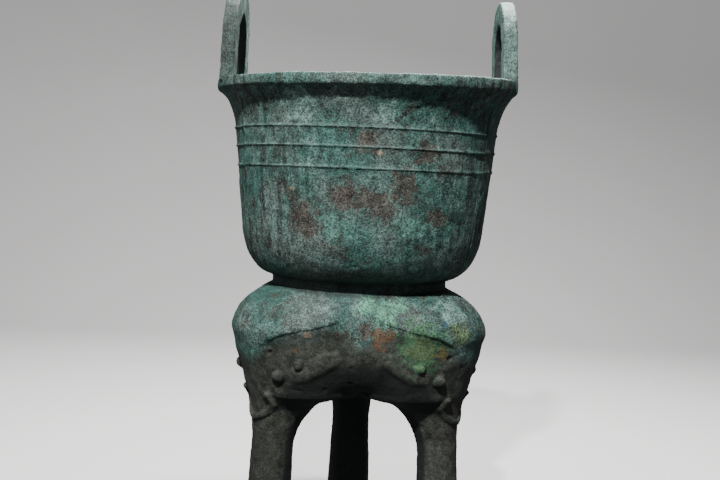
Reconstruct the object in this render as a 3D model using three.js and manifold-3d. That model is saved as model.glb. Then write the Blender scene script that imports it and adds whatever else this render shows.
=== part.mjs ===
// Bronze yan: a steamer cast in one piece. A round bowl with a flared rim and two
// upright loop handles stands on a hollow three-lobed tripod, and every lobe wears a
// beast mask above its column leg. The waist between bowl and tripod is open inside.
import * as THREE from "three";
import { mergeVertices } from "three/addons/utils/BufferGeometryUtils.js";
import Module from "manifold-3d";

const wasm = await Module();
wasm.setup();

// Driving dimensions in millimetres. +Z is up, the feet stand on z = 0 and -Y is the front.
const RIM_RADIUS = 150;
const RIM_TOP = 438.5;
const RIM_WARP = 2;
const RIM_TILT = 4;
const LIP_HEIGHT = 10;
const LIP_WIDTH = 10;
const LIP_ROUND = 2;
const FLARE_FOOT = 392;
const BOWL_TOP_RADIUS = 131;
const BOWL_CORNER_Z = 290;
const BOWL_CORNER_RADIUS = 121;
const BOWL_FLOOR_Z = 246;
const BOWL_WALL = 4;
const STRING_HEIGHTS = [354, 373, 390.5];
const STRING_PROUD = 1.8;
const STRING_HALF = 2;

const WAIST_RADIUS = 88;
const WAIST_FOOT = 237;
const WAIST_BORE = 80;
const SHOULDER_ROOT = 86;

const LOBE_RADIUS = 131.5;
const LOBE_WIDEST_Z = 197;
const LOBE_TAPER = 2.3;
const VALLEY_RADIUS = 104;
const VALLEY_FLOOR_RADIUS = 68;
const TRIPOD_WALL = 5;

const LEG_AZIMUTHS = { front_left: 210, front_right: 330, back: 90 };
const LEG_OUTER = 113;
const LEG_GAP = 60;
const ARCH_SPRING = 77;
const ARCH_APEX = 135;
const ANKLE_Z = 94;
const FOOT_FLARE = 6;
const LEG_FLAT = 0.72;
const LEG_TOP = 180;
const LEG_PROUD = 0.5;
const LEG_SINK = 12;
const POCKET_FOOT = 108;
const POCKET_FLOOR = 10;

const HANDLE_HALF_WIDTH = 50;
const HANDLE_BAND = 25;
const HANDLE_HEIGHT = 87;
const HANDLE_INNER_X = 130;
const HANDLE_SHIFT = 1.5;
const HANDLE_THICKNESS = 14;
const HANDLE_ROOT = 7;
const HANDLE_EDGE = 1.5;
const HANDLE_LEAN = THREE.MathUtils.degToRad(2);
const HANDLE_TWIST = THREE.MathUtils.degToRad(3);

const BOWL_SEGMENTS = 36;
const TRIPOD_SEGMENTS = 42;
const HOLLOW_SEGMENTS = 30;
const LEG_SIDES = 16;
const ROUND_STEPS = 5;

// The beast mask, in degrees from the middle of its lobe and heights above the floor.
const BROW = { path: [[15, 189], [25, 199], [36, 204], [48, 211]], proud: 4.5, rise: 15 };
const CHEEK = { path: [[23, 152], [32, 154], [40, 161], [49, 172]], proud: 3.5, rise: 16 };
const MOUTH = { path: [[0, 110], [5, 113], [10, 119], [13.5, 127], [12, 135]], radius: 3.2, sink: 0.4 };
const EYE = { angle: 29.5, z: 169, radius: 5.5, sink: 1.2, stretch: 1 };
const NOSTRIL = { angle: 19.5, z: 156, radius: 6.5, sink: 0.5, stretch: 1.1 };
const RIDGE_STEPS = 5;
const RIDGE_SIDES = 5;
const RIDGE_TIP = 0.5;
const LEDGE_ROOT = 3;
const BALL_SEGMENTS = 7;

// A solid from a closed mesh: shared points are merged, empty triangles dropped, and all
// triangles turned round if the mesh was drawn inside out.
function solidOf(geometry) {
  const bare = new THREE.BufferGeometry();
  bare.setAttribute("position", geometry.getAttribute("position"));
  bare.setIndex(geometry.index);
  const merged = mergeVertices(bare, 1e-3);
  const position = merged.getAttribute("position");
  const index = merged.index.array;
  const corner = (i) => new THREE.Vector3().fromBufferAttribute(position, i);
  const triangles = [];
  let volume = 0;
  for (let i = 0; i < index.length; i += 3) {
    const [a, b, c] = index.slice(i, i + 3);
    if (a === b || b === c || c === a) continue;
    volume += corner(a).dot(corner(b).cross(corner(c)));
    triangles.push(a, b, c);
  }
  if (volume < 0) triangles.reverse();
  const mesh = new wasm.Mesh({
    numProp: 3,
    vertProperties: new Float32Array(position.array),
    triVerts: new Uint32Array(triangles),
  });
  return new wasm.Manifold(mesh);
}

function toGeometry(solid) {
  const mesh = solid.getMesh();
  const geometry = new THREE.BufferGeometry();
  geometry.setAttribute("position", new THREE.BufferAttribute(mesh.vertProperties, 3));
  geometry.setIndex(new THREE.BufferAttribute(mesh.triVerts, 1));
  geometry.computeVertexNormals();
  return geometry;
}

// A closed skin over rings that have the same number of points, with a flat cap at each end.
function loft(rings) {
  const count = rings[0].length;
  const points = rings.flat();
  const middle = (ring) => ring.reduce((sum, p) => sum.add(p), new THREE.Vector3()).divideScalar(count);
  const first = points.push(middle(rings[0])) - 1;
  const last = points.push(middle(rings.at(-1))) - 1;
  const index = [];
  for (let k = 0; k < count; k++) {
    const next = (k + 1) % count;
    for (let r = 0; r < rings.length - 1; r++) {
      const low = r * count;
      const high = low + count;
      index.push(low + k, low + next, high + next, low + k, high + next, high + k);
    }
    const top = (rings.length - 1) * count;
    index.push(first, next, k, last, top + k, top + next);
  }
  const geometry = new THREE.BufferGeometry().setFromPoints(points);
  geometry.setIndex(index);
  return solidOf(geometry);
}

// A solid turned about the Z axis from a path of radius and height. Its mouth is slightly
// warped: the rim rises towards the handles, dips at the front and back, and tilts to one side.
function turned(path, segments) {
  const geometry = new THREE.LatheGeometry(path.getPoints(ROUND_STEPS), segments);
  geometry.rotateX(Math.PI / 2);
  const position = geometry.getAttribute("position");
  for (let i = 0; i < position.count; i++) {
    const [x, y, z] = [position.getX(i), position.getY(i), position.getZ(i)];
    const up = Math.max(0, (z - FLARE_FOOT) / (RIM_TOP - FLARE_FOOT));
    const warp = RIM_WARP * Math.cos(2 * Math.atan2(y, x)) + (RIM_TILT * x) / RIM_RADIUS;
    position.setZ(i, z + up * warp);
  }
  return solidOf(geometry);
}

// Bowl

function bowlRadius(z) {
  const t = (z - BOWL_CORNER_Z) / (FLARE_FOOT - BOWL_CORNER_Z);
  return THREE.MathUtils.lerp(BOWL_CORNER_RADIUS, BOWL_TOP_RADIUS, t);
}

function bowlOuter() {
  const lipFoot = RIM_TOP - LIP_HEIGHT;
  const path = new THREE.Path();
  path.moveTo(0, WAIST_FOOT - TRIPOD_WALL);
  path.lineTo(WAIST_RADIUS, WAIST_FOOT - TRIPOD_WALL);
  path.lineTo(WAIST_RADIUS, BOWL_FLOOR_Z);
  path.bezierCurveTo(108, 249, 118, 268, BOWL_CORNER_RADIUS, BOWL_CORNER_Z);
  for (const z of STRING_HEIGHTS) {
    path.lineTo(bowlRadius(z - STRING_HALF), z - STRING_HALF);
    path.lineTo(bowlRadius(z) + STRING_PROUD, z);
    path.lineTo(bowlRadius(z + STRING_HALF), z + STRING_HALF);
  }
  path.bezierCurveTo(133, 412, 140, 421, RIM_RADIUS - LIP_ROUND, lipFoot - LIP_ROUND);
  path.lineTo(RIM_RADIUS, lipFoot + LIP_ROUND);
  path.lineTo(RIM_RADIUS, RIM_TOP - LIP_ROUND);
  path.lineTo(RIM_RADIUS - LIP_ROUND, RIM_TOP);
  path.lineTo(0, RIM_TOP);
  return turned(path, BOWL_SEGMENTS);
}

function bowlCavity() {
  const above = 10;
  const mouth = RIM_RADIUS - LIP_WIDTH;
  const path = new THREE.Path();
  path.moveTo(0, WAIST_FOOT - 2 * TRIPOD_WALL);
  path.lineTo(WAIST_BORE, WAIST_FOOT - 2 * TRIPOD_WALL);
  path.lineTo(WAIST_BORE, BOWL_FLOOR_Z + BOWL_WALL);
  path.bezierCurveTo(104, 255, 113, 272, BOWL_CORNER_RADIUS - BOWL_WALL, BOWL_CORNER_Z);
  path.lineTo(BOWL_TOP_RADIUS - BOWL_WALL, FLARE_FOOT);
  path.bezierCurveTo(127.5, 410, 133, 430, mouth, RIM_TOP);
  path.lineTo(mouth, RIM_TOP + above);
  path.lineTo(0, RIM_TOP + above);
  return turned(path, BOWL_SEGMENTS);
}

// An arch that stands on the rim, slightly twisted, with a slot down to the rim.
function handle(side) {
  const straight = HANDLE_HEIGHT - HANDLE_HALF_WIDTH;
  const slot = HANDLE_HALF_WIDTH - HANDLE_BAND;
  const outer = HANDLE_HALF_WIDTH - HANDLE_EDGE;
  const inner = slot + HANDLE_EDGE;
  const outline = new THREE.Shape();
  outline.moveTo(outer, -HANDLE_ROOT);
  outline.lineTo(outer, straight);
  outline.absarc(0, straight, outer, 0, Math.PI);
  outline.lineTo(-outer, -HANDLE_ROOT);
  const hole = new THREE.Path();
  hole.moveTo(inner, HANDLE_EDGE - RIM_TILT);
  hole.lineTo(inner, straight);
  hole.absarc(0, straight, inner, 0, Math.PI);
  hole.lineTo(-inner, HANDLE_EDGE - RIM_TILT);
  outline.holes.push(hole);
  const geometry = new THREE.ExtrudeGeometry(outline, {
    depth: HANDLE_THICKNESS - 2 * HANDLE_EDGE,
    bevelSize: HANDLE_EDGE,
    bevelThickness: HANDLE_EDGE,
    bevelSegments: 1,
    curveSegments: 11,
  });
  geometry.translate(0, 0, HANDLE_EDGE);
  geometry.rotateX(Math.PI / 2).rotateZ(Math.PI / 2);
  geometry.rotateY(-HANDLE_LEAN).rotateZ(-HANDLE_TWIST);
  geometry.translate(HANDLE_INNER_X, 0, RIM_TOP + RIM_WARP);
  if (side < 0) geometry.rotateZ(Math.PI);
  return solidOf(geometry.translate(HANDLE_SHIFT, 0, 0));
}

// Tripod: a lobed body over three legs, each leg a stack of circles that grows into its lobe

const quarter = (t) => Math.sqrt(Math.max(0, 1 - t * t));

// The outer profile through the middle of a lobe, from the waist down to the foot.
function lobeRadius(z) {
  const shoulder = (z - LOBE_WIDEST_Z) / (WAIST_FOOT - LOBE_WIDEST_Z);
  if (shoulder > 0) return SHOULDER_ROOT + (LOBE_RADIUS - SHOULDER_ROOT) * quarter(shoulder);
  const t = Math.min(1, (LOBE_WIDEST_Z - z) / (LOBE_WIDEST_Z - ANKLE_Z));
  const flare = FOOT_FLARE * Math.max(0, 1 - z / ANKLE_Z) ** 1.3;
  return LEG_OUTER + flare + (LOBE_RADIUS - LEG_OUTER) * (1 - t) ** LOBE_TAPER;
}

// The profile between two lobes, from the waist down to the top of the arch.
function valleyRadius(z) {
  const shoulder = (z - LOBE_WIDEST_Z) / (WAIST_FOOT - LOBE_WIDEST_Z);
  if (shoulder > 0) return SHOULDER_ROOT + (VALLEY_RADIUS - SHOULDER_ROOT) * quarter(shoulder);
  const under = (LOBE_WIDEST_Z - z) / (LOBE_WIDEST_Z - ARCH_APEX);
  return VALLEY_FLOOR_RADIUS + (VALLEY_RADIUS - VALLEY_FLOOR_RADIUS) * quarter(under);
}

// The body's radius at an angle from the middle of a lobe, in radians.
function bodyRadius(angle, z) {
  const lobe = Math.cos(1.5 * angle) ** 2;
  return THREE.MathUtils.lerp(valleyRadius(z), lobeRadius(z), lobe);
}

// The leg's circle at a height: it touches the outer profile and keeps clear of the arch.
function legCircle(z) {
  const rise = (z - ARCH_SPRING) / (ARCH_APEX - ARCH_SPRING);
  const gap = rise > 0 ? LEG_GAP * quarter(Math.min(1, rise)) : LEG_GAP;
  const outer = lobeRadius(z);
  const centre = (outer + gap) / (1 + Math.sin(Math.PI / 3));
  return { centre, radius: outer - centre };
}

// The tripod's outer radius at an angle in degrees from the middle of a lobe.
function skinRadius(degrees, z) {
  const angle = THREE.MathUtils.degToRad(degrees);
  const { centre, radius } = legCircle(z);
  const across = centre * Math.sin(angle);
  const leg = centre * Math.cos(angle) + radius * quarter(across / radius);
  return z < ARCH_APEX ? leg : Math.max(leg, bodyRadius(angle, z));
}

function heights(low, high, steps) {
  return Array.from({ length: steps + 1 }, (_, i) => low + ((high - low) * i) / steps);
}

// The lobed body, or its hollow when it is drawn in by an inset and squeezed between two heights.
function body(inset, low, high, segments, levels) {
  const first = THREE.MathUtils.degToRad(LEG_AZIMUTHS.back);
  const rings = heights(0, 1, levels).map((t) => {
    const rise = 0.5 - 0.5 * Math.cos(t * Math.PI);
    const skinZ = THREE.MathUtils.lerp(ARCH_APEX, WAIST_FOOT, rise);
    const z = THREE.MathUtils.lerp(low, high, rise);
    return Array.from({ length: segments }, (_, i) => {
      const angle = (i / segments) * 2 * Math.PI;
      const radius = bodyRadius(angle, skinZ) - inset;
      const azimuth = first + angle;
      return new THREE.Vector3(radius * Math.cos(azimuth), radius * Math.sin(azimuth), z);
    });
  });
  return loft(rings);
}

// One level of a leg, drawn in by an inset and lifted; its inner face is flat below the arch.
function legRing(azimuth, z, inset, lift, sides) {
  const turn = THREE.MathUtils.degToRad(azimuth);
  const { centre, radius } = legCircle(z);
  const round = THREE.MathUtils.clamp((z - ARCH_SPRING) / (ARCH_APEX - ARCH_SPRING), 0, 1);
  const inward = -radius * THREE.MathUtils.lerp(LEG_FLAT, 1, round);
  return Array.from({ length: sides }, (_, i) => {
    const angle = (i / sides) * 2 * Math.PI;
    const u = centre + Math.max((radius - inset) * Math.cos(angle), inward + inset);
    const v = (radius - inset) * Math.sin(angle);
    const x = u * Math.cos(turn) - v * Math.sin(turn);
    const y = u * Math.sin(turn) + v * Math.cos(turn);
    return new THREE.Vector3(x, y, z + lift);
  });
}

// A leg sinks under the body's skin as it rises, so that the two meet along one line.
function leg(azimuth) {
  const levels = [...heights(0, ARCH_SPRING, 3), ...heights(ARCH_SPRING, LEG_TOP, 10).slice(1)];
  const sunk = (z) => LEG_SINK * Math.max(0, (z - ARCH_APEX) / (LEG_TOP - ARCH_APEX)) - LEG_PROUD;
  return loft(levels.map((z) => legRing(azimuth, z, sunk(z), 0, LEG_SIDES)));
}

// The hollow of a lobe, down to where its leg becomes solid.
function pocket(azimuth) {
  const rings = heights(0, 1, 6).map((t) => {
    const z = THREE.MathUtils.lerp(POCKET_FOOT, LEG_TOP, t);
    const inset = TRIPOD_WALL * (1 + t);
    return legRing(azimuth, z, inset, POCKET_FLOOR * (1 - t), LEG_SIDES - 4);
  });
  return loft(rings);
}

// Beast masks

function onSkin(azimuth, degrees, z, sink) {
  const radius = skinRadius(Math.abs(degrees), z) - sink;
  const at = THREE.MathUtils.degToRad(azimuth + degrees);
  return new THREE.Vector3(radius * Math.cos(at), radius * Math.sin(at), z);
}

const swell = (t) => THREE.MathUtils.lerp(RIDGE_TIP, 1, Math.sin(t * Math.PI));

// A crisp overhang along a line of the skin, with a slope above it that runs back into the skin.
function ledge(azimuth, side, { path, proud, rise }) {
  const line = new THREE.SplineCurve(path.map(([a, z]) => new THREE.Vector2(a, z)));
  const rings = heights(0, 1, RIDGE_STEPS).map((t) => {
    const { x: angle, y: z } = line.getPoint(t);
    const point = (up, out) => onSkin(azimuth, side * angle, z + up * swell(t), -out);
    return [point(0, -LEDGE_ROOT), point(0, proud * swell(t)), point(rise, -LEDGE_ROOT)];
  });
  return loft(rings);
}

// A raised round line through points of the skin that thins towards its ends.
function ridge(points, radius) {
  const curve = new THREE.CatmullRomCurve3(points);
  const steps = 3 * RIDGE_STEPS;
  const frames = curve.computeFrenetFrames(steps);
  const rings = heights(0, 1, steps).map((t, i) => {
    const middle = curve.getPoint(t);
    const thick = radius * swell(t);
    return Array.from({ length: RIDGE_SIDES }, (_, k) => {
      const turn = (k / RIDGE_SIDES) * 2 * Math.PI;
      return middle
        .clone()
        .addScaledVector(frames.normals[i], thick * Math.cos(turn))
        .addScaledVector(frames.binormals[i], thick * Math.sin(turn));
    });
  });
  return loft(rings);
}

function ball(azimuth, degrees, { z, radius, sink, stretch }) {
  const geometry = new THREE.SphereGeometry(radius, BALL_SEGMENTS, BALL_SEGMENTS - 2);
  geometry.rotateX(Math.PI / 2).scale(1, 1, stretch);
  const at = onSkin(azimuth, degrees, z, sink);
  return solidOf(geometry.translate(at.x, at.y, at.z));
}

function mask(azimuth) {
  const half = (side) => MOUTH.path.map(([a, z]) => onSkin(azimuth, side * a, z, MOUTH.sink));
  const lips = [...half(-1).reverse(), ...half(1).slice(1)];
  const raised = [ridge(lips, MOUTH.radius)];
  for (const side of [-1, 1]) {
    raised.push(ledge(azimuth, side, BROW));
    raised.push(ledge(azimuth, side, CHEEK));
    raised.push(ball(azimuth, side * EYE.angle, EYE));
    raised.push(ball(azimuth, side * NOSTRIL.angle, NOSTRIL));
  }
  return raised;
}

// The casting: everything outside, less everything hollow, with the handles on its rim

function vessel() {
  const legs = Object.values(LEG_AZIMUTHS);
  const join = (solids) => solids.reduce((sum, solid) => sum.add(solid));
  const skin = join([
    bowlOuter(),
    body(0, ARCH_APEX, WAIST_FOOT, TRIPOD_SEGMENTS, 10),
    ...legs.map(leg),
    ...legs.flatMap(mask),
  ]);
  const hollow = join([
    bowlCavity(),
    body(TRIPOD_WALL, ARCH_APEX + TRIPOD_WALL, WAIST_FOOT - TRIPOD_WALL, HOLLOW_SEGMENTS, 7),
    ...legs.map(pocket),
  ]);
  return join([skin.subtract(hollow), handle(1), handle(-1)]);
}

const bronze = new THREE.MeshStandardMaterial({ color: 0x4c5f58, roughness: 0.7, metalness: 0.55 });

const yan = new THREE.Group();
const casting = new THREE.Mesh(toGeometry(vessel()), bronze);
casting.name = "yan_vessel";
yan.add(casting);

export default yan;
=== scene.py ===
"""A bronze yan steamer under its patina: one casting, built as a smooth distance field.

Bowl, waist, lobes, legs, handles and beast masks are joined as signed distances in
millimetres, so that their joins are rounded as a casting's are. The skin is drawn from
that field, roughened, thinned to a fair number of triangles and given its patina, with
shade and a highlight painted in.
"""

import math

import bpy
import numpy as np
from mathutils import Matrix, Vector


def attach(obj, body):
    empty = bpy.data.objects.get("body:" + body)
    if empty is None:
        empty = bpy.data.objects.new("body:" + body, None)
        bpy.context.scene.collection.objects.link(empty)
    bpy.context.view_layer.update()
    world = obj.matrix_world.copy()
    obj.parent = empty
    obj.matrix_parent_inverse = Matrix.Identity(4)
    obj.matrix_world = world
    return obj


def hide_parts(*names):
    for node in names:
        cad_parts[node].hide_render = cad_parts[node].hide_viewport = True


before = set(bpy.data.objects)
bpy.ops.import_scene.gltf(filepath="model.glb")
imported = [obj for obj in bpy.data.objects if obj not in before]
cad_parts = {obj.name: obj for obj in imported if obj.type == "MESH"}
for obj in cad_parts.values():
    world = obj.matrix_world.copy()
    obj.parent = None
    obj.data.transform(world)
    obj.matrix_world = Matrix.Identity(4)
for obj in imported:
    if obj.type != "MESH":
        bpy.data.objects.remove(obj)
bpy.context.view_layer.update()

# Sizes in millimetres: +Z is up, the feet stand on z = 0 and -Y is the front.
RIM_RADIUS = 150.0
RIM_TOP = 438.5
RIM_WARP = 2.0
RIM_TILT = 4.0
LIP_HEIGHT = 10.0
LIP_WIDTH = 10.0
LIP_ROUND = 2.0
FLARE_FOOT = 392.0
BOWL_TOP_RADIUS = 131.0
BOWL_CORNER_Z = 290.0
BOWL_CORNER_RADIUS = 121.0
BOWL_FLOOR_Z = 246.0
BOWL_WALL = 4.0
STRING_HEIGHTS = (354.0, 373.0, 390.5)
STRING_PROUD = 1.3
STRING_ROUND = 0.9

# Mould seams: where they run up the bowl, and how far the strings jump beyond each of them.
SEAM_AZIMUTHS = (90, 205, 330)
SEAM_STEPS = (1.5, -0.7, 0.0)
SEAM_PROUD = 0.5
SEAM_HALF = 1.5

WAIST_RADIUS = 88.0
WAIST_FOOT = 237.0
WAIST_BORE = 80.0
SHOULDER_ROOT = 86.0

LOBE_RADIUS = 131.5
LOBE_WIDEST_Z = 197.0
LOBE_TAPER = 2.3
VALLEY_RADIUS = 100.0
VALLEY_TAPER = 1.3
VALLEY_FLOOR_RADIUS = 68.0
TRIPOD_WALL = 5.0
BELLY_ROUND = 20.0

LEG_AZIMUTH = 90.0
LEG_OUTER = 113.0
LEG_GAP = 60.0
ARCH_SPRING = 77.0
ARCH_APEX = 135.0
ANKLE_Z = 94.0
FOOT_FLARE = 6.0
LEG_FLAT = 0.72
LEG_TOP = 170.0
LEG_HOLLOW_FLOOR = 118.0

HANDLE_HALF_WIDTH = 50.0
HANDLE_BAND = 25.0
HANDLE_HEIGHT = 87.0
HANDLE_INNER_X = 130.0
HANDLE_SHIFT = 1.5
HANDLE_THICKNESS = 14.0
HANDLE_ROOT = 7.0
HANDLE_EDGE = 1.6
HANDLE_LEAN = math.radians(2.0)
HANDLE_TWIST = math.radians(3.0)

# How widely neighbouring forms melt into each other.
STRING_BLEND = 0.9
MOUTH_BLEND = 1.2
WAIST_BLEND = 2.5
HOLLOW_BLEND = 3.0
CHAMBER_BLEND = 10.0
LEG_BLEND = 15.0
LEG_TOP_BLEND = 10.0
LEG_FLAT_BLEND = 3.0
FOOT_BLEND = 2.0
HANDLE_BLEND = 3.0
SLOT_BLEND = 4.0

# The beast mask, in degrees from the middle of its lobe and heights above the floor.
BROW = ((15, 189), (25, 199), (36, 204), (48, 211))
CHEEK = ((23, 152), (32, 154), (40, 161), (49, 172))
CHEEK_WIDTH = ((23, 10), (32, 17), (40, 20), (49, 12))
MOUTH = ((0, 110), (5, 113), (10, 119), (13.5, 127), (12, 135))
NOSE_SIDE = ((150, 13), (172, 14), (192, 16))
BROW_PROUD = 4.0
CHEEK_PROUD = 2.4
MOUTH_PROUD = 2.6
MOUTH_ROUND = 3.2
MASK_SEAM_PROUD = 0.7
MM_PER_DEGREE = 2.1

# Its knobs and notches: angle, height, how far they stand out or sink in, radius.
EYE = (29.5, 169, 4.2, 4.8)
NOSTRIL = (19.5, 156, 6.2, 6.0)
MOUTH_KNOB = (11.5, 135, 2.8, 3.6)
NOTCH = (16.5, 179, 1.5, 2.6)

# The mask's relief is whole this near to the plain skin, and gone that far from it.
RELIEF_NEAR = 7.0
RELIEF_FAR = 14.0

# The patina is dark under the first of these lines, and what is under the second is
# painted black as shade under the belly.
SHADE_LINE = ((0, 177), (8, 177), (15, 188), (25, 199), (36, 204), (46, 208), (52, 200), (60, 190))
SHADED_BELLY_LINE = ((20, 146), (26, 151), (33, 154), (40, 159), (48, 164), (60, 162))

VOXEL = 1.4
COARSE = 4
FIELD_LOW = np.array((-157.0, -157.0, -5.0))
FIELD_HIGH = np.array((157.0, 157.0, 533.0))
TRIANGLES = 190000


# Distances and outlines

def smooth_min(a, b, k):
    h = np.maximum(k - np.abs(a - b), 0) / k
    return np.minimum(a, b) - h * h * k / 4


def smooth_max(a, b, k):
    return -smooth_min(-a, -b, k)


def smooth_step(low, high, value):
    t = np.clip((value - low) / (high - low), 0, 1)
    return t * t * (3 - 2 * t)


def quarter(t):
    return np.sqrt(np.clip(1 - t * t, 0, 1))


def bezier(start, control_a, control_b, end, steps=12):
    t = np.linspace(0, 1, steps + 1)[1:, None]
    start, control_a, control_b, end = np.array((start, control_a, control_b, end), float)
    curve = start * (1 - t) ** 3 + 3 * control_a * t * (1 - t) ** 2
    curve = curve + 3 * control_b * t * t * (1 - t) + end * t ** 3
    return [tuple(point) for point in curve]


def outline_distance(points, r, z):
    """Signed distance from (r, z) to a closed outline, negative inside it."""
    nearest = np.full(r.shape, 1e9)
    inside = np.zeros(r.shape, bool)
    for (r0, z0), (r1, z1) in zip(points, points[1:] + points[:1]):
        dr, dz = r1 - r0, z1 - z0
        t = np.clip(((r - r0) * dr + (z - z0) * dz) / (dr * dr + dz * dz + 1e-12), 0, 1)
        nearest = np.minimum(nearest, (r - r0 - t * dr) ** 2 + (z - z0 - t * dz) ** 2)
        if dz != 0:
            crosses = (z0 > z) != (z1 > z)
            inside ^= crosses & (r < r0 + dr * (z - z0) / dz)
    return np.where(inside, -1, 1) * np.sqrt(nearest)


class Turned:
    """Distance to a shape turned about the Z axis, looked up from a table of its outline."""

    STEP = 0.7
    REACH = 235

    def __init__(self, points):
        radii = np.arange(0, self.REACH, self.STEP)
        heights = np.arange(FIELD_LOW[2] - 8, FIELD_HIGH[2] + 8, self.STEP)
        self.foot = heights[0]
        self.table = outline_distance(points, *np.meshgrid(radii, heights, indexing="ij"))

    def at(self, r, z):
        row = r / self.STEP
        column = (z - self.foot) / self.STEP
        i = np.clip(row, 0, self.table.shape[0] - 2).astype(int)
        j = np.clip(column, 0, self.table.shape[1] - 2).astype(int)
        fi, fj = row - i, column - j
        low = self.table[i, j] * (1 - fj) + self.table[i, j + 1] * fj
        high = self.table[i + 1, j] * (1 - fj) + self.table[i + 1, j + 1] * fj
        return low * (1 - fi) + high * fi


class Spots:
    """Points in space, with their distance and their angle in degrees about the Z axis."""

    def __init__(self, points):
        self.x, self.y, self.z = points.T
        self.r = np.hypot(self.x, self.y)
        self.azimuth = np.degrees(np.arctan2(self.y, self.x)) % 360
        self.lobe_angle = (self.azimuth - LEG_AZIMUTH + 60) % 120 - 60


# Bowl

AXIS = -60.0


def bowl_radius(z):
    t = (z - BOWL_CORNER_Z) / (FLARE_FOOT - BOWL_CORNER_Z)
    return BOWL_CORNER_RADIUS + (BOWL_TOP_RADIUS - BOWL_CORNER_RADIUS) * t


def bowl_outline():
    foot = WAIST_FOOT - 8
    lip_foot = RIM_TOP - LIP_HEIGHT
    under_lip = (RIM_RADIUS - 2 * LIP_ROUND, lip_foot - LIP_ROUND)
    lip_corner = (RIM_RADIUS, lip_foot)
    lip_face = (RIM_RADIUS, lip_foot + 3 * LIP_ROUND)
    top_corner = (RIM_RADIUS, RIM_TOP)
    points = [(AXIS, foot), (WAIST_RADIUS, foot), (WAIST_RADIUS, BOWL_FLOOR_Z)]
    points += bezier(points[-1], (108, 249), (118, 268), (BOWL_CORNER_RADIUS, BOWL_CORNER_Z))
    points.append((BOWL_TOP_RADIUS, FLARE_FOOT))
    points += bezier(points[-1], (133, 412), (140, 421), under_lip)
    points += bezier(under_lip, lip_corner, lip_corner, lip_face, 4)
    points.append((RIM_RADIUS, RIM_TOP - LIP_ROUND))
    points += bezier(points[-1], top_corner, top_corner, (RIM_RADIUS - LIP_ROUND, RIM_TOP), 4)
    points.append((AXIS, RIM_TOP))
    return points


def bowl_hollow_outline():
    foot = WAIST_FOOT - 14
    above = RIM_TOP + 40
    mouth = RIM_RADIUS - LIP_WIDTH
    points = [(AXIS, foot), (WAIST_BORE, foot), (WAIST_BORE, BOWL_FLOOR_Z + BOWL_WALL)]
    points += bezier(points[-1], (104, 255), (113, 272), (BOWL_CORNER_RADIUS - BOWL_WALL, BOWL_CORNER_Z))
    points.append((BOWL_TOP_RADIUS - BOWL_WALL, FLARE_FOOT))
    points += bezier(points[-1], (127.5, 410), (133, 430), (mouth, RIM_TOP))
    points += [(mouth + 4, RIM_TOP + 8), (mouth + 4, above), (AXIS, above)]
    return points


BOWL_SKIN = Turned(bowl_outline())
BOWL_HOLLOW = Turned(bowl_hollow_outline())


def unwarped_height(s):
    """Heights with the mouth's warp and tilt taken out."""
    up = np.clip((s.z - FLARE_FOOT) / (RIM_TOP - FLARE_FOOT), 0, 1.5)
    warp = RIM_WARP * np.cos(2 * np.radians(s.azimuth)) + RIM_TILT * s.x / RIM_RADIUS
    return s.z - up * warp


def string_lines(s):
    sector = np.searchsorted(SEAM_AZIMUTHS, s.azimuth) % len(SEAM_AZIMUTHS)
    shift = np.array(SEAM_STEPS)[sector]
    nearest = np.full(s.z.shape, 1e3)
    for height in STRING_HEIGHTS:
        out = s.r - bowl_radius(height) - STRING_PROUD + STRING_ROUND
        nearest = np.minimum(nearest, np.hypot(out, s.z - height - shift))
    return nearest - STRING_ROUND


def bowl_seams(s):
    """How far the mould seams stand out of the bowl."""
    proud = np.zeros(s.z.shape)
    for seam in SEAM_AZIMUTHS:
        across = np.radians((s.azimuth - seam + 180) % 360 - 180) * s.r
        proud = np.maximum(proud, SEAM_PROUD * np.exp(-(across / SEAM_HALF) ** 2))
    return proud * smooth_step(250, 270, s.z) * smooth_step(425, 410, s.z)


def bowl_distance(s, height):
    skin = BOWL_SKIN.at(s.r, height) - bowl_seams(s)
    return smooth_min(skin, string_lines(s), STRING_BLEND)


# Tripod

def lobe_radius(z):
    shoulder = (z - LOBE_WIDEST_Z) / (WAIST_FOOT - LOBE_WIDEST_Z)
    upper = SHOULDER_ROOT + (LOBE_RADIUS - SHOULDER_ROOT) * quarter(np.clip(shoulder, 0, 1))
    t = np.clip((LOBE_WIDEST_Z - z) / (LOBE_WIDEST_Z - ANKLE_Z), 0, 1)
    flare = FOOT_FLARE * np.maximum(0, 1 - z / ANKLE_Z) ** 1.3
    lower = LEG_OUTER + flare + (LOBE_RADIUS - LEG_OUTER) * (1 - t) ** LOBE_TAPER
    return np.where(shoulder > 0, upper, lower)


def valley_radius(z):
    shoulder = (z - LOBE_WIDEST_Z) / (WAIST_FOOT - LOBE_WIDEST_Z)
    upper = SHOULDER_ROOT + (VALLEY_RADIUS - SHOULDER_ROOT) * quarter(np.clip(shoulder, 0, 1))
    under = np.clip((LOBE_WIDEST_Z - z) / (LOBE_WIDEST_Z - ARCH_APEX), 0, 1)
    depth = VALLEY_RADIUS - VALLEY_FLOOR_RADIUS
    lower = VALLEY_FLOOR_RADIUS + depth * quarter(under) ** VALLEY_TAPER
    return np.where(shoulder > 0, upper, lower)


def tripod_outline(radius):
    rise = 0.5 - 0.5 * np.cos(np.linspace(0, math.pi, 49))
    z = ARCH_APEX + (WAIST_FOOT - ARCH_APEX) * rise
    foot = ARCH_APEX - 3 * BELLY_ROUND
    return [(AXIS, foot), (radius(z[0]), foot), *zip(radius(z), z), (AXIS, WAIST_FOOT)]


VALLEY = Turned(tripod_outline(valley_radius))
LOBE = Turned(tripod_outline(lobe_radius))


def body_distance(s):
    lobe = np.cos(np.radians(1.5 * s.lobe_angle)) ** 2
    body = VALLEY.at(s.r, s.z) * (1 - lobe) + LOBE.at(s.r, s.z) * lobe
    return smooth_max(body, ARCH_APEX - s.z, BELLY_ROUND)


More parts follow.
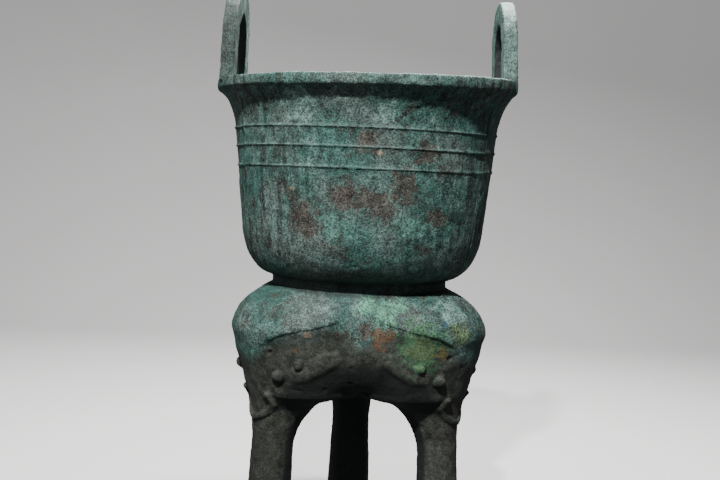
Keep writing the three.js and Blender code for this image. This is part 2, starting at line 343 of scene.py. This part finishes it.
def leg_level(s, z):
    """Distance in one level to the leg's circle, which keeps clear of the arch."""
    rise = np.clip((z - ARCH_SPRING) / (ARCH_APEX - ARCH_SPRING), 0, 1)
    outer = lobe_radius(z)
    centre = (outer + LEG_GAP * quarter(rise)) / (1 + math.sin(math.pi / 3))
    radius = outer - centre
    angle = np.radians(s.lobe_angle)
    across, out = s.r * np.sin(angle), s.r * np.cos(angle)
    flat = centre - radius * (LEG_FLAT + (1 - LEG_FLAT) * rise) - out
    return smooth_max(np.hypot(out - centre, across) - radius, flat, LEG_FLAT_BLEND)


def leg_distance(s, step=6):
    lean = (leg_level(s, s.z + step) - leg_level(s, s.z - step)) / (2 * step)
    leg = leg_level(s, s.z) / np.sqrt(1 + lean * lean)
    leg = smooth_max(leg, s.z - LEG_TOP, LEG_TOP_BLEND)
    return smooth_max(leg, -s.z, FOOT_BLEND)


# Beast masks

def along(path, angle):
    places, values = zip(*path)
    return np.interp(angle, places, values)


def line_distance(path, angle, z):
    nearest = np.full(z.shape, 1e9)
    for (a0, z0), (a1, z1) in zip(path, path[1:]):
        du, dz = (a1 - a0) * MM_PER_DEGREE, z1 - z0
        u, h = (angle - a0) * MM_PER_DEGREE, z - z0
        t = np.clip((u * du + h * dz) / (du * du + dz * dz), 0, 1)
        nearest = np.minimum(nearest, np.hypot(u - t * du, h - t * dz))
    return nearest


def brow_and_nose(angle, z):
    """A forehead that overhangs the eyes along the brow and runs down into the nose."""
    brow = z - along(BROW, angle)
    nose = (along(NOSE_SIDE, z) - angle) * MM_PER_DEGREE
    inside = smooth_max(brow, 0.18 * nose, 2.0)
    upper = np.exp(-(np.maximum(brow, 0) / 24) ** 2)
    proud = np.where(brow > 0, upper, smooth_step(150, 188, z))
    edge = 0.42 * smooth_step(-0.8, 0.8, inside) + 0.58 * smooth_step(-12, 2, inside)
    return BROW_PROUD * edge * proud * smooth_step(53, 44, angle)


def cheek(angle, z):
    above = z - along(CHEEK, angle)
    bulge = quarter(np.clip(above / along(CHEEK_WIDTH, angle), 0, 1))
    crest = CHEEK_PROUD * smooth_step(-4, 2, above) * bulge
    return crest * smooth_step(22, 28, angle) * smooth_step(52, 44, angle)


def knob(shape, angle, z):
    middle, height, proud, radius = shape
    reach = np.hypot((angle - middle) * MM_PER_DEGREE, z - height)
    return proud * quarter(np.minimum(reach / radius, 1))


def mask_relief(angle, z):
    """How far the mask stands out of the lobe's skin."""
    relief = brow_and_nose(angle, z) + cheek(angle, z) - knob(NOTCH, angle, z)
    relief += knob(NOSTRIL, angle, z) + knob(EYE, angle, z)
    lips = MOUTH_PROUD * quarter(np.minimum(line_distance(MOUTH, angle, z) / MOUTH_ROUND, 1))
    relief += np.maximum(lips, knob(MOUTH_KNOB, angle, z))
    seam = MASK_SEAM_PROUD * np.exp(-((60 - angle) * MM_PER_DEGREE / SEAM_HALF) ** 2)
    return (relief + seam * smooth_step(145, 165, z)) * smooth_step(234, 222, z)


# Handles and the whole casting

def handles(s):
    """Signed distances to the handles and to the slots in them."""
    side = np.where(s.x > HANDLE_SHIFT, 1, -1)
    out = side * (s.x - HANDLE_SHIFT) - HANDLE_INNER_X
    across = side * s.y * math.cos(HANDLE_TWIST) + out * math.sin(HANDLE_TWIST)
    through = out * math.cos(HANDLE_TWIST) - side * s.y * math.sin(HANDLE_TWIST)
    straight = HANDLE_HEIGHT - HANDLE_HALF_WIDTH
    up = s.z - RIM_TOP - RIM_WARP
    arch = np.hypot(across, np.maximum(up - straight, 0))
    ring = np.maximum(arch - HANDLE_HALF_WIDTH, -HANDLE_ROOT - up)
    slot = smooth_max(arch - HANDLE_HALF_WIDTH + HANDLE_BAND, -RIM_TILT - up, SLOT_BLEND)
    band = np.maximum(ring, -slot) + HANDLE_EDGE
    middle = HANDLE_THICKNESS / 2 - up * math.tan(HANDLE_LEAN)
    plate = np.abs(through - middle) - HANDLE_THICKNESS / 2 + HANDLE_EDGE
    corner = np.hypot(np.maximum(band, 0), np.maximum(plate, 0))
    return corner + np.minimum(np.maximum(band, plate), 0) - HANDLE_EDGE, slot


def casting(points):
    """Signed distances to the vessel and to its hollow."""
    s = Spots(points)
    height = unwarped_height(s)
    plain = smooth_min(body_distance(s), leg_distance(s), LEG_BLEND)
    relief = mask_relief(np.abs(s.lobe_angle), s.z)
    tripod = plain - relief * smooth_step(RELIEF_FAR, RELIEF_NEAR, np.abs(plain))
    skin = smooth_min(bowl_distance(s, height), tripod, WAIST_BLEND)
    chamber = smooth_max(plain + TRIPOD_WALL, LEG_HOLLOW_FLOOR - s.z, CHAMBER_BLEND)
    hollow = smooth_min(BOWL_HOLLOW.at(s.r, height), chamber, HOLLOW_BLEND)
    vessel = smooth_max(skin, -hollow, MOUTH_BLEND)
    return smooth_min(vessel, handles(s)[0], HANDLE_BLEND), hollow


def distance(points):
    return casting(points)[0]


def slope(points, step=0.5):
    """The way in which the distance grows at points, and how fast."""
    rise = [distance(points + shift) - distance(points - shift) for shift in np.eye(3) * step]
    return np.stack(rise, axis=1) / (2 * step)


def unit(vectors):
    return vectors / np.maximum(np.linalg.norm(vectors, axis=1, keepdims=True), 1e-6)


# Skin of the field

def field_grid():
    """Distances on a grid of points, worked out finely only near the skin."""
    cells = np.ceil((FIELD_HIGH - FIELD_LOW) / (COARSE * VOXEL)).astype(int)
    blocks = np.stack(np.indices(cells), axis=-1).reshape(-1, 3)
    middle = FIELD_LOW + VOXEL * (COARSE * blocks + (COARSE - 1) / 2)
    rough = distance(middle)
    near = blocks[np.abs(rough) < 1.6 * COARSE * VOXEL]
    values = rough.reshape(cells)
    for axis in range(3):
        values = np.repeat(values, COARSE, axis)
    for offset in np.ndindex(COARSE, COARSE, COARSE):
        nodes = COARSE * near + offset
        values[tuple(nodes.T)] = distance(FIELD_LOW + VOXEL * nodes)
    return values


def draw_skin(values):
    """Points and quads where the field changes sign, one point in each crossed cell."""
    inside = values < 0
    nx, ny, nz = np.array(values.shape) - 1
    count = np.zeros((nx, ny, nz), np.uint8)
    corners = list(np.ndindex(2, 2, 2))
    for i, j, k in corners:
        count += inside[i:i + nx, j:j + ny, k:k + nz]
    crossed = (count > 0) & (count < 8)
    cells = np.argwhere(crossed)
    number = np.full(crossed.shape, -1)
    number[tuple(cells.T)] = np.arange(len(cells))
    at = {corner: values[tuple((cells + corner).T)] for corner in corners}
    total = np.zeros((len(cells), 3))
    hits = np.zeros((len(cells), 1))
    for begin in corners:
        for axis in np.flatnonzero(np.array(begin) == 0):
            step = np.eye(3, dtype=int)[axis]
            end = tuple(np.array(begin) + step)
            cross = (at[begin] < 0) != (at[end] < 0)
            t = at[begin] / np.where(cross, at[begin] - at[end], np.inf)
            total += (np.array(begin) + t[:, None] * step) * cross[:, None]
            hits += cross[:, None]
    points = FIELD_LOW + VOXEL * (cells + total / hits)
    return points, np.concatenate([edge_quads(inside, number, axis) for axis in range(3)])


def edge_quads(inside, number, axis):
    """A quad for every grid edge along one axis that the skin crosses."""
    begin, end = [slice(1, -1)] * 3, [slice(1, -1)] * 3
    begin[axis], end[axis] = slice(0, -1), slice(1, None)
    starts, stops = inside[tuple(begin)], inside[tuple(end)]
    crossed = np.argwhere(starts != stops)
    leaving = starts[tuple(crossed.T)]
    side_a, side_b = np.delete(np.eye(3, dtype=int), axis, axis=0)
    edges = crossed + side_a + side_b
    ring = [edges - side_a - side_b, edges - side_b, edges, edges - side_a]
    quads = np.stack([number[tuple(cell.T)] for cell in ring], axis=1)
    turned = leaving if axis == 1 else ~leaving
    quads[turned] = quads[turned][:, ::-1]
    return quads


def settle(points):
    """Points moved onto the exact skin."""
    for _ in range(2):
        way = slope(points)
        steep = np.maximum((way * way).sum(axis=1), 0.25)
        move = np.clip(distance(points) / steep, -VOXEL, VOXEL)
        points = points - way * move[:, None]
    return points


# Surface of an old casting

class Noise:
    """Smooth seeded noise between -1 and 1."""

    SIZE = 64

    def __init__(self, seed):
        self.lattice = np.random.default_rng(seed).uniform(-1, 1, (self.SIZE,) * 3)

    def at(self, points, wavelength):
        place = points / wavelength
        cell = np.floor(place).astype(int)
        t = place - cell
        t = t * t * (3 - 2 * t)
        total = np.zeros(len(points))
        for corner in np.ndindex(2, 2, 2):
            weight = np.prod(np.where(corner, t, 1 - t), axis=1)
            total += weight * self.lattice[tuple(((cell + corner) % self.SIZE).T)]
        return total


def casting_swell(points):
    """Slow unevenness of the cast wall."""
    return 0.7 * Noise(1).at(points, 70) + 0.3 * Noise(2).at(points, 26)


def casting_grain(points):
    """Corroded grain, crusts and pits of the outer skin."""
    grain = 0.16 * Noise(3).at(points, 9) + 0.1 * Noise(4).at(points, 4.5)
    crust = 0.4 * smooth_step(0.1, 0.5, Noise(5).at(points, 17) + 0.4 * Noise(6).at(points, 6))
    pits = -0.6 * smooth_step(0.62, 0.85, Noise(7).at(points, 8))
    return grain + crust + pits


def new_object(name, points, faces):
    mesh = bpy.data.meshes.new(name)
    mesh.from_pydata(points.tolist(), [], faces.tolist())
    mesh.update()
    made = bpy.data.objects.new(name, mesh)
    bpy.context.collection.objects.link(made)
    return made


def thin_out(thing):
    """Fewer triangles where the skin is even."""
    thinner = thing.modifiers.new("thin", "DECIMATE")
    thinner.ratio = TRIANGLES / (2 * len(thing.data.polygons))
    thinner.use_collapse_triangulate = True
    graph = bpy.context.evaluated_depsgraph_get()
    thinned = bpy.data.meshes.new_from_object(thing.evaluated_get(graph))
    thing.modifiers.clear()
    old = thing.data
    thing.data = thinned
    bpy.data.meshes.remove(old)
    thinned.name = thing.name


def vertex_points(mesh):
    flat = np.empty(3 * len(mesh.vertices))
    mesh.vertices.foreach_get("co", flat)
    return flat.reshape(-1, 3)


def add_values(mesh, name, values):
    layer = mesh.attributes.new(name, "FLOAT", "POINT")
    layer.data.foreach_set("value", values.astype(np.float32))


def outside(points):
    """1 on the outer skin and the handles, 0 in the hollow."""
    skin = smooth_step(1.0, 2.5, np.abs(casting(points)[1]))
    return np.maximum(skin, smooth_step(RIM_TOP - 8, RIM_TOP - 3, points[:, 2]))


def painted_shade(s, outward):
    """Where shade is painted black: under the belly, down-turned faces, inner leg sides, waist and
    slots.
    """
    angle = np.abs(s.lobe_angle)
    leg = np.radians(s.azimuth - s.lobe_angle)
    turned_in = -(outward[:, 0] * np.cos(leg) + outward[:, 1] * np.sin(leg))
    legs = smooth_step(0.0, 0.25, turned_in) * smooth_step(160, 150, s.z)
    belly = smooth_step(2, -3, s.z - along(SHADED_BELLY_LINE, angle)) * smooth_step(19, 24, angle)
    under = smooth_step(0.35, 0.75, -outward[:, 2]) * smooth_step(275, 235, s.z)
    from_waist = np.abs(s.z - 0.5 * (WAIST_FOOT + BOWL_FLOOR_Z))
    waist = smooth_step(12, 6, from_waist) * smooth_step(100, 92, s.r)
    slots = smooth_step(3, 1, np.abs(handles(s)[1])) * smooth_step(RIM_TOP, RIM_TOP + 4, s.z)
    return np.max((legs, belly, under, 0.6 * waist, slots), axis=0)


def mark_wear_and_shade(mesh):
    """Where creases hold dirt and painted shade, edges are rubbed and shade is painted black below."""
    points = vertex_points(mesh) * 1000
    outward = unit(slope(points, 2.0))
    deep, near = 5.0, 1.5
    here = distance(points)
    # Creases and recesses get dirt and painted shade.
    hemmed_in = 1 - (distance(points + deep * outward) - here) / deep
    sticking_out = 1 + (distance(points - near * outward) - here) / near
    add_values(mesh, "crevice_dirt_and_shade", np.clip(hemmed_in, 0, 1))
    add_values(mesh, "rubbed", np.clip(sticking_out, 0, 1))
    s = Spots(points)
    angle = np.abs(s.lobe_angle)
    # The hollow is painted dark as shade too.
    inside = (1 - outside(points)) * smooth_step(330, 250, s.z)
    add_values(mesh, "painted_shade", np.maximum(painted_shade(s, unit(slope(points, 6.0))), inside))
    below = along(SHADE_LINE, angle) - s.z
    add_values(mesh, "shade", 0.6 * smooth_step(-2, 3, below) + 0.4 * smooth_step(0, 25, below))
    # The rim's top band and the handles: paler patina with a painted highlight.
    add_values(mesh, "rim", smooth_step(RIM_TOP - 5, RIM_TOP - 2, unwarped_height(s)))


def build_vessel():
    points, quads = draw_skin(field_grid())
    points = settle(points)
    outward = unit(slope(points))
    rough = casting_swell(points) + outside(points) * casting_grain(points)
    points = points + outward * (rough * smooth_step(0, 3, points[:, 2]))[:, None]
    points[:, 2] = np.maximum(points[:, 2], 0)
    thing = new_object("yan_casting", points / 1000, quads)
    thin_out(thing)
    mark_wear_and_shade(thing.data)
    thing.data.shade_smooth()
    return thing


vessel = build_vessel()
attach(vessel, "root")
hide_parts("yan_vessel")


# Patina, with painted shade and a painted highlight

class Nodes:
    """Short hands for building one material's node tree."""

    def __init__(self, name):
        self.material = bpy.data.materials.new(name)
        self.material.use_nodes = True
        self.tree = self.material.node_tree
        self.shader = self.tree.nodes["Principled BSDF"]
        self.place = self.add("ShaderNodeTexCoord").outputs["Object"]

    def add(self, kind, **settings):
        node = self.tree.nodes.new(kind)
        for key, value in settings.items():
            setattr(node, key, value)
        return node

    def put(self, socket, value):
        if isinstance(value, bpy.types.NodeSocket):
            self.tree.links.new(value, socket)
        else:
            socket.default_value = value

    def math(self, operation, a, b):
        node = self.add("ShaderNodeMath", operation=operation)
        self.put(node.inputs[0], a)
        self.put(node.inputs[1], b)
        return node.outputs[0]

    def ramp(self, value, low, high, to_low=0.0, to_high=1.0):
        node = self.add("ShaderNodeMapRange", interpolation_type="SMOOTHSTEP")
        for socket, item in zip(node.inputs, (value, low, high, to_low, to_high)):
            self.put(socket, item)
        return node.outputs[0]

    def mix(self, factor, a, b, blend="MIX"):
        node = self.add("ShaderNodeMix", data_type="RGBA", blend_type=blend)
        self.put(node.inputs[0], factor)
        self.put(node.inputs[6], a)
        self.put(node.inputs[7], b)
        return node.outputs[2]

    def noise(self, scale, detail=4.0, roughness=0.6, stretch=None):
        node = self.add("ShaderNodeTexNoise")
        place = self.place
        if stretch:
            mapping = self.add("ShaderNodeMapping")
            self.put(mapping.inputs["Vector"], place)
            mapping.inputs["Scale"].default_value = stretch
            place = mapping.outputs["Vector"]
        self.put(node.inputs["Vector"], place)
        node.inputs["Scale"].default_value = scale
        node.inputs["Detail"].default_value = detail
        node.inputs["Roughness"].default_value = roughness
        return node.outputs["Fac"]

    def value(self, name):
        return self.add("ShaderNodeAttribute", attribute_name=name).outputs["Fac"]

    def distance(self, middle):
        node = self.add("ShaderNodeVectorMath", operation="DISTANCE")
        self.put(node.inputs[0], self.place)
        node.inputs[1].default_value = middle
        return node.outputs["Value"]


def colour(red, green, blue):
    return (red, green, blue, 1.0)


DARK_BRONZE = colour(0.030, 0.036, 0.030)
GREY_GREEN = colour(0.118, 0.168, 0.150)
TEAL = colour(0.052, 0.140, 0.117)
PALE_TEAL = colour(0.200, 0.330, 0.290)
DULL_TEAL = colour(0.054, 0.074, 0.067)
RUSSET = colour(0.084, 0.070, 0.058)
OLIVE = colour(0.074, 0.076, 0.060)
DARK_OLIVE = colour(0.038, 0.041, 0.034)
# Near black, for painted shade in creases, under the belly and in the hollow, and for small dark cracks.
NEAR_BLACK = colour(0.018, 0.020, 0.020)
PALE_GRAIN = colour(0.480, 0.520, 0.470)
MINT = colour(0.125, 0.335, 0.225)
RUST = colour(0.158, 0.088, 0.046)
LEAF_GREEN = colour(0.060, 0.160, 0.080)
YELLOW_GREEN = colour(0.125, 0.190, 0.088)
OCHRE = colour(0.190, 0.165, 0.065)
BLUE = colour(0.025, 0.095, 0.140)
TAN = colour(0.340, 0.250, 0.180)
BRIGHT_TEAL = colour(0.095, 0.225, 0.180)

# Single patches: middle and radius in metres, how ragged the edge is, colour.
PATCHES = (
    ((-0.023, -0.123, 0.327), 0.013, 0.014, RUSSET),
    ((-0.004, -0.124, 0.325), 0.013, 0.014, RUSSET),
    ((0.014, -0.123, 0.319), 0.013, 0.014, RUSSET),
    ((0.034, -0.121, 0.340), 0.016, 0.016, RUSSET),
    ((-0.057, -0.108, 0.304), 0.016, 0.016, RUSSET),
    ((-0.003, -0.130, 0.378), 0.012, 0.014, RUSSET),
    ((0.051, -0.118, 0.371), 0.013, 0.016, RUSSET),
    ((0.065, -0.104, 0.313), 0.011, 0.014, RUSSET),
    ((0.004, -0.100, 0.203), 0.009, 0.010, RUSSET),
    ((0.037, -0.116, 0.301), 0.014, 0.016, BRIGHT_TEAL),
    ((-0.030, -0.118, 0.300), 0.012, 0.016, BRIGHT_TEAL),
    ((-0.066, -0.118, 0.410), 0.020, 0.014, PALE_TEAL),
    ((0.012, -0.132, 0.404), 0.009, 0.014, PALE_TEAL),
    ((0.086, -0.082, 0.222), 0.018, 0.014, PALE_TEAL),
    # Painted shade over the front of the left handle.
    ((-0.137, -0.045, 0.475), 0.050, 0.020, DULL_TEAL),
    ((-0.090, -0.060, 0.050), 0.060, 0.020, DARK_OLIVE),
    ((0.058, -0.102, 0.190), 0.028, 0.022, LEAF_GREEN),
    ((0.056, -0.102, 0.188), 0.015, 0.024, YELLOW_GREEN),
    ((0.093, -0.087, 0.203), 0.012, 0.018, YELLOW_GREEN),
    ((0.076, -0.096, 0.182), 0.008, 0.007, OCHRE),
    ((0.021, -0.097, 0.221), 0.014, 0.016, MINT),
    ((0.005, -0.095, 0.227), 0.011, 0.012, MINT),
    ((0.036, -0.094, 0.230), 0.009, 0.012, MINT),
    ((0.018, -0.100, 0.197), 0.010, 0.014, RUST),
    ((-0.061, -0.098, 0.183), 0.003, 0.002, RUST),
    ((0.078, -0.094, 0.211), 0.003, 0.003, BLUE),
    ((-0.070, -0.104, 0.333), 0.003, 0.003, TAN),
    ((0.008, -0.128, 0.368), 0.002, 0.003, TAN),
    ((-0.051, -0.101, 0.199), 0.004, 0.004, TAN),
    ((-0.035, -0.101, 0.203), 0.003, 0.004, TAN),
    ((-0.079, -0.086, 0.273), 0.004, 0.003, NEAR_BLACK),
    ((0.023, -0.130, 0.397), 0.002, 0.002, NEAR_BLACK),
    ((0.026, -0.130, 0.400), 0.002, 0.002, NEAR_BLACK),
    ((0.029, -0.130, 0.403), 0.002, 0.002, NEAR_BLACK),
)


def patina_and_painted_light():
    n = Nodes("patinated_bronze")
    spot = n.add("ShaderNodeSeparateXYZ")
    n.put(spot.inputs[0], n.place)
    side, height = n.math("ABSOLUTE", spot.outputs["X"], 0.0), spot.outputs["Z"]

    cloud = n.noise(16, 6, 0.62)
    blotch = n.noise(38, 8, 0.68)
    mottle = n.noise(120, 6, 0.7)
    speck = n.noise(620, 3, 0.7)
    grain = n.noise(900, 2, 0.6)
    drip = n.noise(170, 4, 0.6, stretch=(1, 1, 0.06))

    base = n.mix(n.ramp(cloud, 0.38, 0.60), GREY_GREEN, TEAL)
    base = n.mix(n.ramp(blotch, 0.56, 0.68, 0, 0.6), base, PALE_TEAL)
    base = n.mix(n.ramp(blotch, 0.46, 0.36, 0, 0.7), base, RUSSET)

    on_bowl = n.math("MULTIPLY", n.ramp(height, 0.245, 0.275), n.ramp(side, 0.02, 0.11, 0.25, 1.0))
    base = n.mix(n.math("MULTIPLY", n.ramp(drip, 0.50, 0.62, 0, 0.85), on_bowl), base, DARK_BRONZE)
    base = n.mix(n.math("MULTIPLY", n.ramp(drip, 0.42, 0.32, 0, 0.4), on_bowl), base, PALE_TEAL)

    ragged = n.math("SUBTRACT", n.noise(90, 7, 0.75), 0.5)
    shade = n.math("ADD", n.value("shade"), n.math("MULTIPLY", ragged, 0.8))
    olive = n.mix(n.ramp(mottle, 0.30, 0.70), DARK_OLIVE, OLIVE)
    base = n.mix(n.ramp(shade, 0.25, 0.90, 0, 0.94), base, olive)
    # The rim and handles turn paler, partly patina, partly painted highlight, painted lighter to the
    # right and darker to the left as the light falls.
    painted_light_by_side = n.ramp(spot.outputs["X"], -0.15, 0.15, 0.05, 0.45)
    base = n.mix(n.math("MULTIPLY", n.value("rim"), painted_light_by_side), base, PALE_TEAL)

    for middle, radius, rough, tint in PATCHES:
        reach = n.math("ADD", n.distance(middle), n.math("MULTIPLY", ragged, 4 * rough))
        base = n.mix(n.ramp(reach, radius, 0.7 * radius, 0, 0.85), base, tint)

    speckled = n.ramp(shade, 0.35, 0.75, 0.8, 0.40)
    mottled = n.ramp(shade, 0.35, 0.75, 0.75, 0.40)
    base = n.mix(speckled, base, n.ramp(speck, 0.37, 0.63, 0.25, 1.80), "MULTIPLY")
    base = n.mix(mottled, base, n.ramp(mottle, 0.34, 0.66, 0.40, 1.55), "MULTIPLY")
    grainy = n.ramp(shade, 0.35, 0.75, 0.55, 0.20)
    base = n.mix(n.ramp(grain, 0.60, 0.72, 0, grainy), base, PALE_GRAIN)
    worn = n.math("MULTIPLY", n.ramp(n.value("rubbed"), 0.2, 0.6), n.ramp(mottle, 0.35, 0.6, 0.1, 0.6))
    base = n.mix(worn, base, PALE_TEAL)
    # Dirt and painted shade darken creases and recesses.
    base = n.mix(n.ramp(n.value("crevice_dirt_and_shade"), 0.12, 0.6, 0, 0.8), base, NEAR_BLACK)
    # Shade painted black under the belly, between the legs, in the waist, slots and hollow.
    base = n.mix(n.ramp(n.value("painted_shade"), 0, 1, 0, 0.93), base, NEAR_BLACK)
    n.put(n.shader.inputs["Base Color"], base)

    n.put(n.shader.inputs["Roughness"], n.ramp(n.math("ADD", mottle, speck), 0.7, 1.3, 0.5, 0.85))
    n.put(n.shader.inputs["Metallic"], n.ramp(blotch, 0.5, 0.3, 0.05, 0.4))
    n.shader.inputs["Specular IOR Level"].default_value = 0.4

    bump = n.math("ADD", n.math("MULTIPLY", speck, 0.9), n.math("MULTIPLY", grain, 0.4))
    bump = n.math("ADD", bump, n.math("MULTIPLY", mottle, 1.5))
    relief = n.add("ShaderNodeBump")
    relief.inputs["Strength"].default_value = 0.8
    relief.inputs["Distance"].default_value = 0.0007
    n.put(relief.inputs["Height"], bump)
    n.put(n.shader.inputs["Normal"], relief.outputs["Normal"])
    return n.material


vessel.data.materials.append(patina_and_painted_light())


# Floor, light and camera

FLOOR_HALF = 3.0
FLOOR_BACK = 1.1
FLOOR_CURVE = 0.7
WALL_HEIGHT = 3.0


def pale_paint():
    n = Nodes("pale_floor")
    pale, paler = colour(0.72, 0.70, 0.69), colour(0.76, 0.74, 0.73)
    n.put(n.shader.inputs["Base Color"], n.mix(n.noise(3), pale, paler))
    n.put(n.shader.inputs["Roughness"], n.ramp(n.noise(40), 0.3, 0.7, 0.75, 0.9))
    return n.material


def backdrop():
    turn = np.linspace(0, math.pi / 2, 17)
    curve = [(FLOOR_BACK + FLOOR_CURVE * math.sin(a), FLOOR_CURVE * (1 - math.cos(a))) for a in turn]
    line = [(-FLOOR_HALF, 0.0), *curve, (FLOOR_BACK + FLOOR_CURVE, WALL_HEIGHT)]
    points = np.array([(x, y, z) for y, z in line for x in (-FLOOR_HALF, FLOOR_HALF)])
    faces = np.array([(i, i + 1, i + 3, i + 2) for i in range(0, 2 * len(line) - 2, 2)])
    floor = new_object("floor", points, faces)
    floor.data.shade_smooth()
    floor.data.materials.append(pale_paint())
    floor.visible_diffuse = False
    floor.visible_glossy = False


def area_light(name, azimuth, elevation, away, size, watts):
    """A round soft light that looks at the vessel's middle from a way off."""
    middle = Vector((0, 0, 0.3))
    flat, up = math.radians(azimuth), math.radians(elevation)
    way = Vector((math.cos(up) * math.cos(flat), math.cos(up) * math.sin(flat), math.sin(up)))
    light = bpy.data.lights.new(name, "AREA")
    light.shape = "DISK"
    light.size = size
    light.energy = watts
    lamp = bpy.data.objects.new(name, light)
    lamp.location = middle + away * way
    lamp.rotation_euler = (-way).to_track_quat("-Z", "Y").to_euler()
    bpy.context.collection.objects.link(lamp)


# Lights: name, azimuth and elevation in degrees, distance and width in metres, watts.
LIGHTS = (
    ("key", 256, 44, 2.2, 0.12, 62),
    ("fill", 200, 25, 2.0, 1.2, 4),
    ("top", 68, 70, 1.0, 0.3, 36),
)
AMBIENT = 0.13


def studio():
    for light in LIGHTS:
        area_light(*light)
    world = bpy.data.worlds.new("studio")
    world.use_nodes = True
    sky = world.node_tree.nodes["Background"]
    sky.inputs["Color"].default_value = colour(0.80, 0.82, 0.85)
    sky.inputs["Strength"].default_value = AMBIENT
    bpy.context.scene.world = world


# The view: the camera stands a little to the left, level with the bowl, and leans slightly.
VIEW_TURN = math.radians(-2.3)
VIEW_DISTANCE = 1.0192
VIEW_HEIGHT = 0.3451
VIEW_SIDE = 0.0013
VIEW_PITCH = math.radians(3.55)
VIEW_YAW = math.radians(-0.15)
VIEW_ROLL = math.radians(2.41)
FOCAL_PIXELS = 1000.0
IMAGE_WIDTH = 720.0


def camera():
    lens = bpy.data.cameras.new("camera")
    lens.sensor_width = 36.0
    lens.lens = FOCAL_PIXELS / IMAGE_WIDTH * lens.sensor_width
    eye = bpy.data.objects.new("camera", lens)
    bpy.context.collection.objects.link(eye)
    turn = Matrix.Rotation(VIEW_TURN, 4, "Z")
    stand = Matrix.Translation((VIEW_SIDE, -VIEW_DISTANCE, VIEW_HEIGHT))
    look = Matrix.Rotation(-VIEW_YAW, 4, "Z") @ Matrix.Rotation(math.pi / 2 - VIEW_PITCH, 4, "X")
    eye.matrix_world = turn @ stand @ look @ Matrix.Rotation(VIEW_ROLL, 4, "Z")
    bpy.context.scene.camera = eye


backdrop()
studio()
camera()
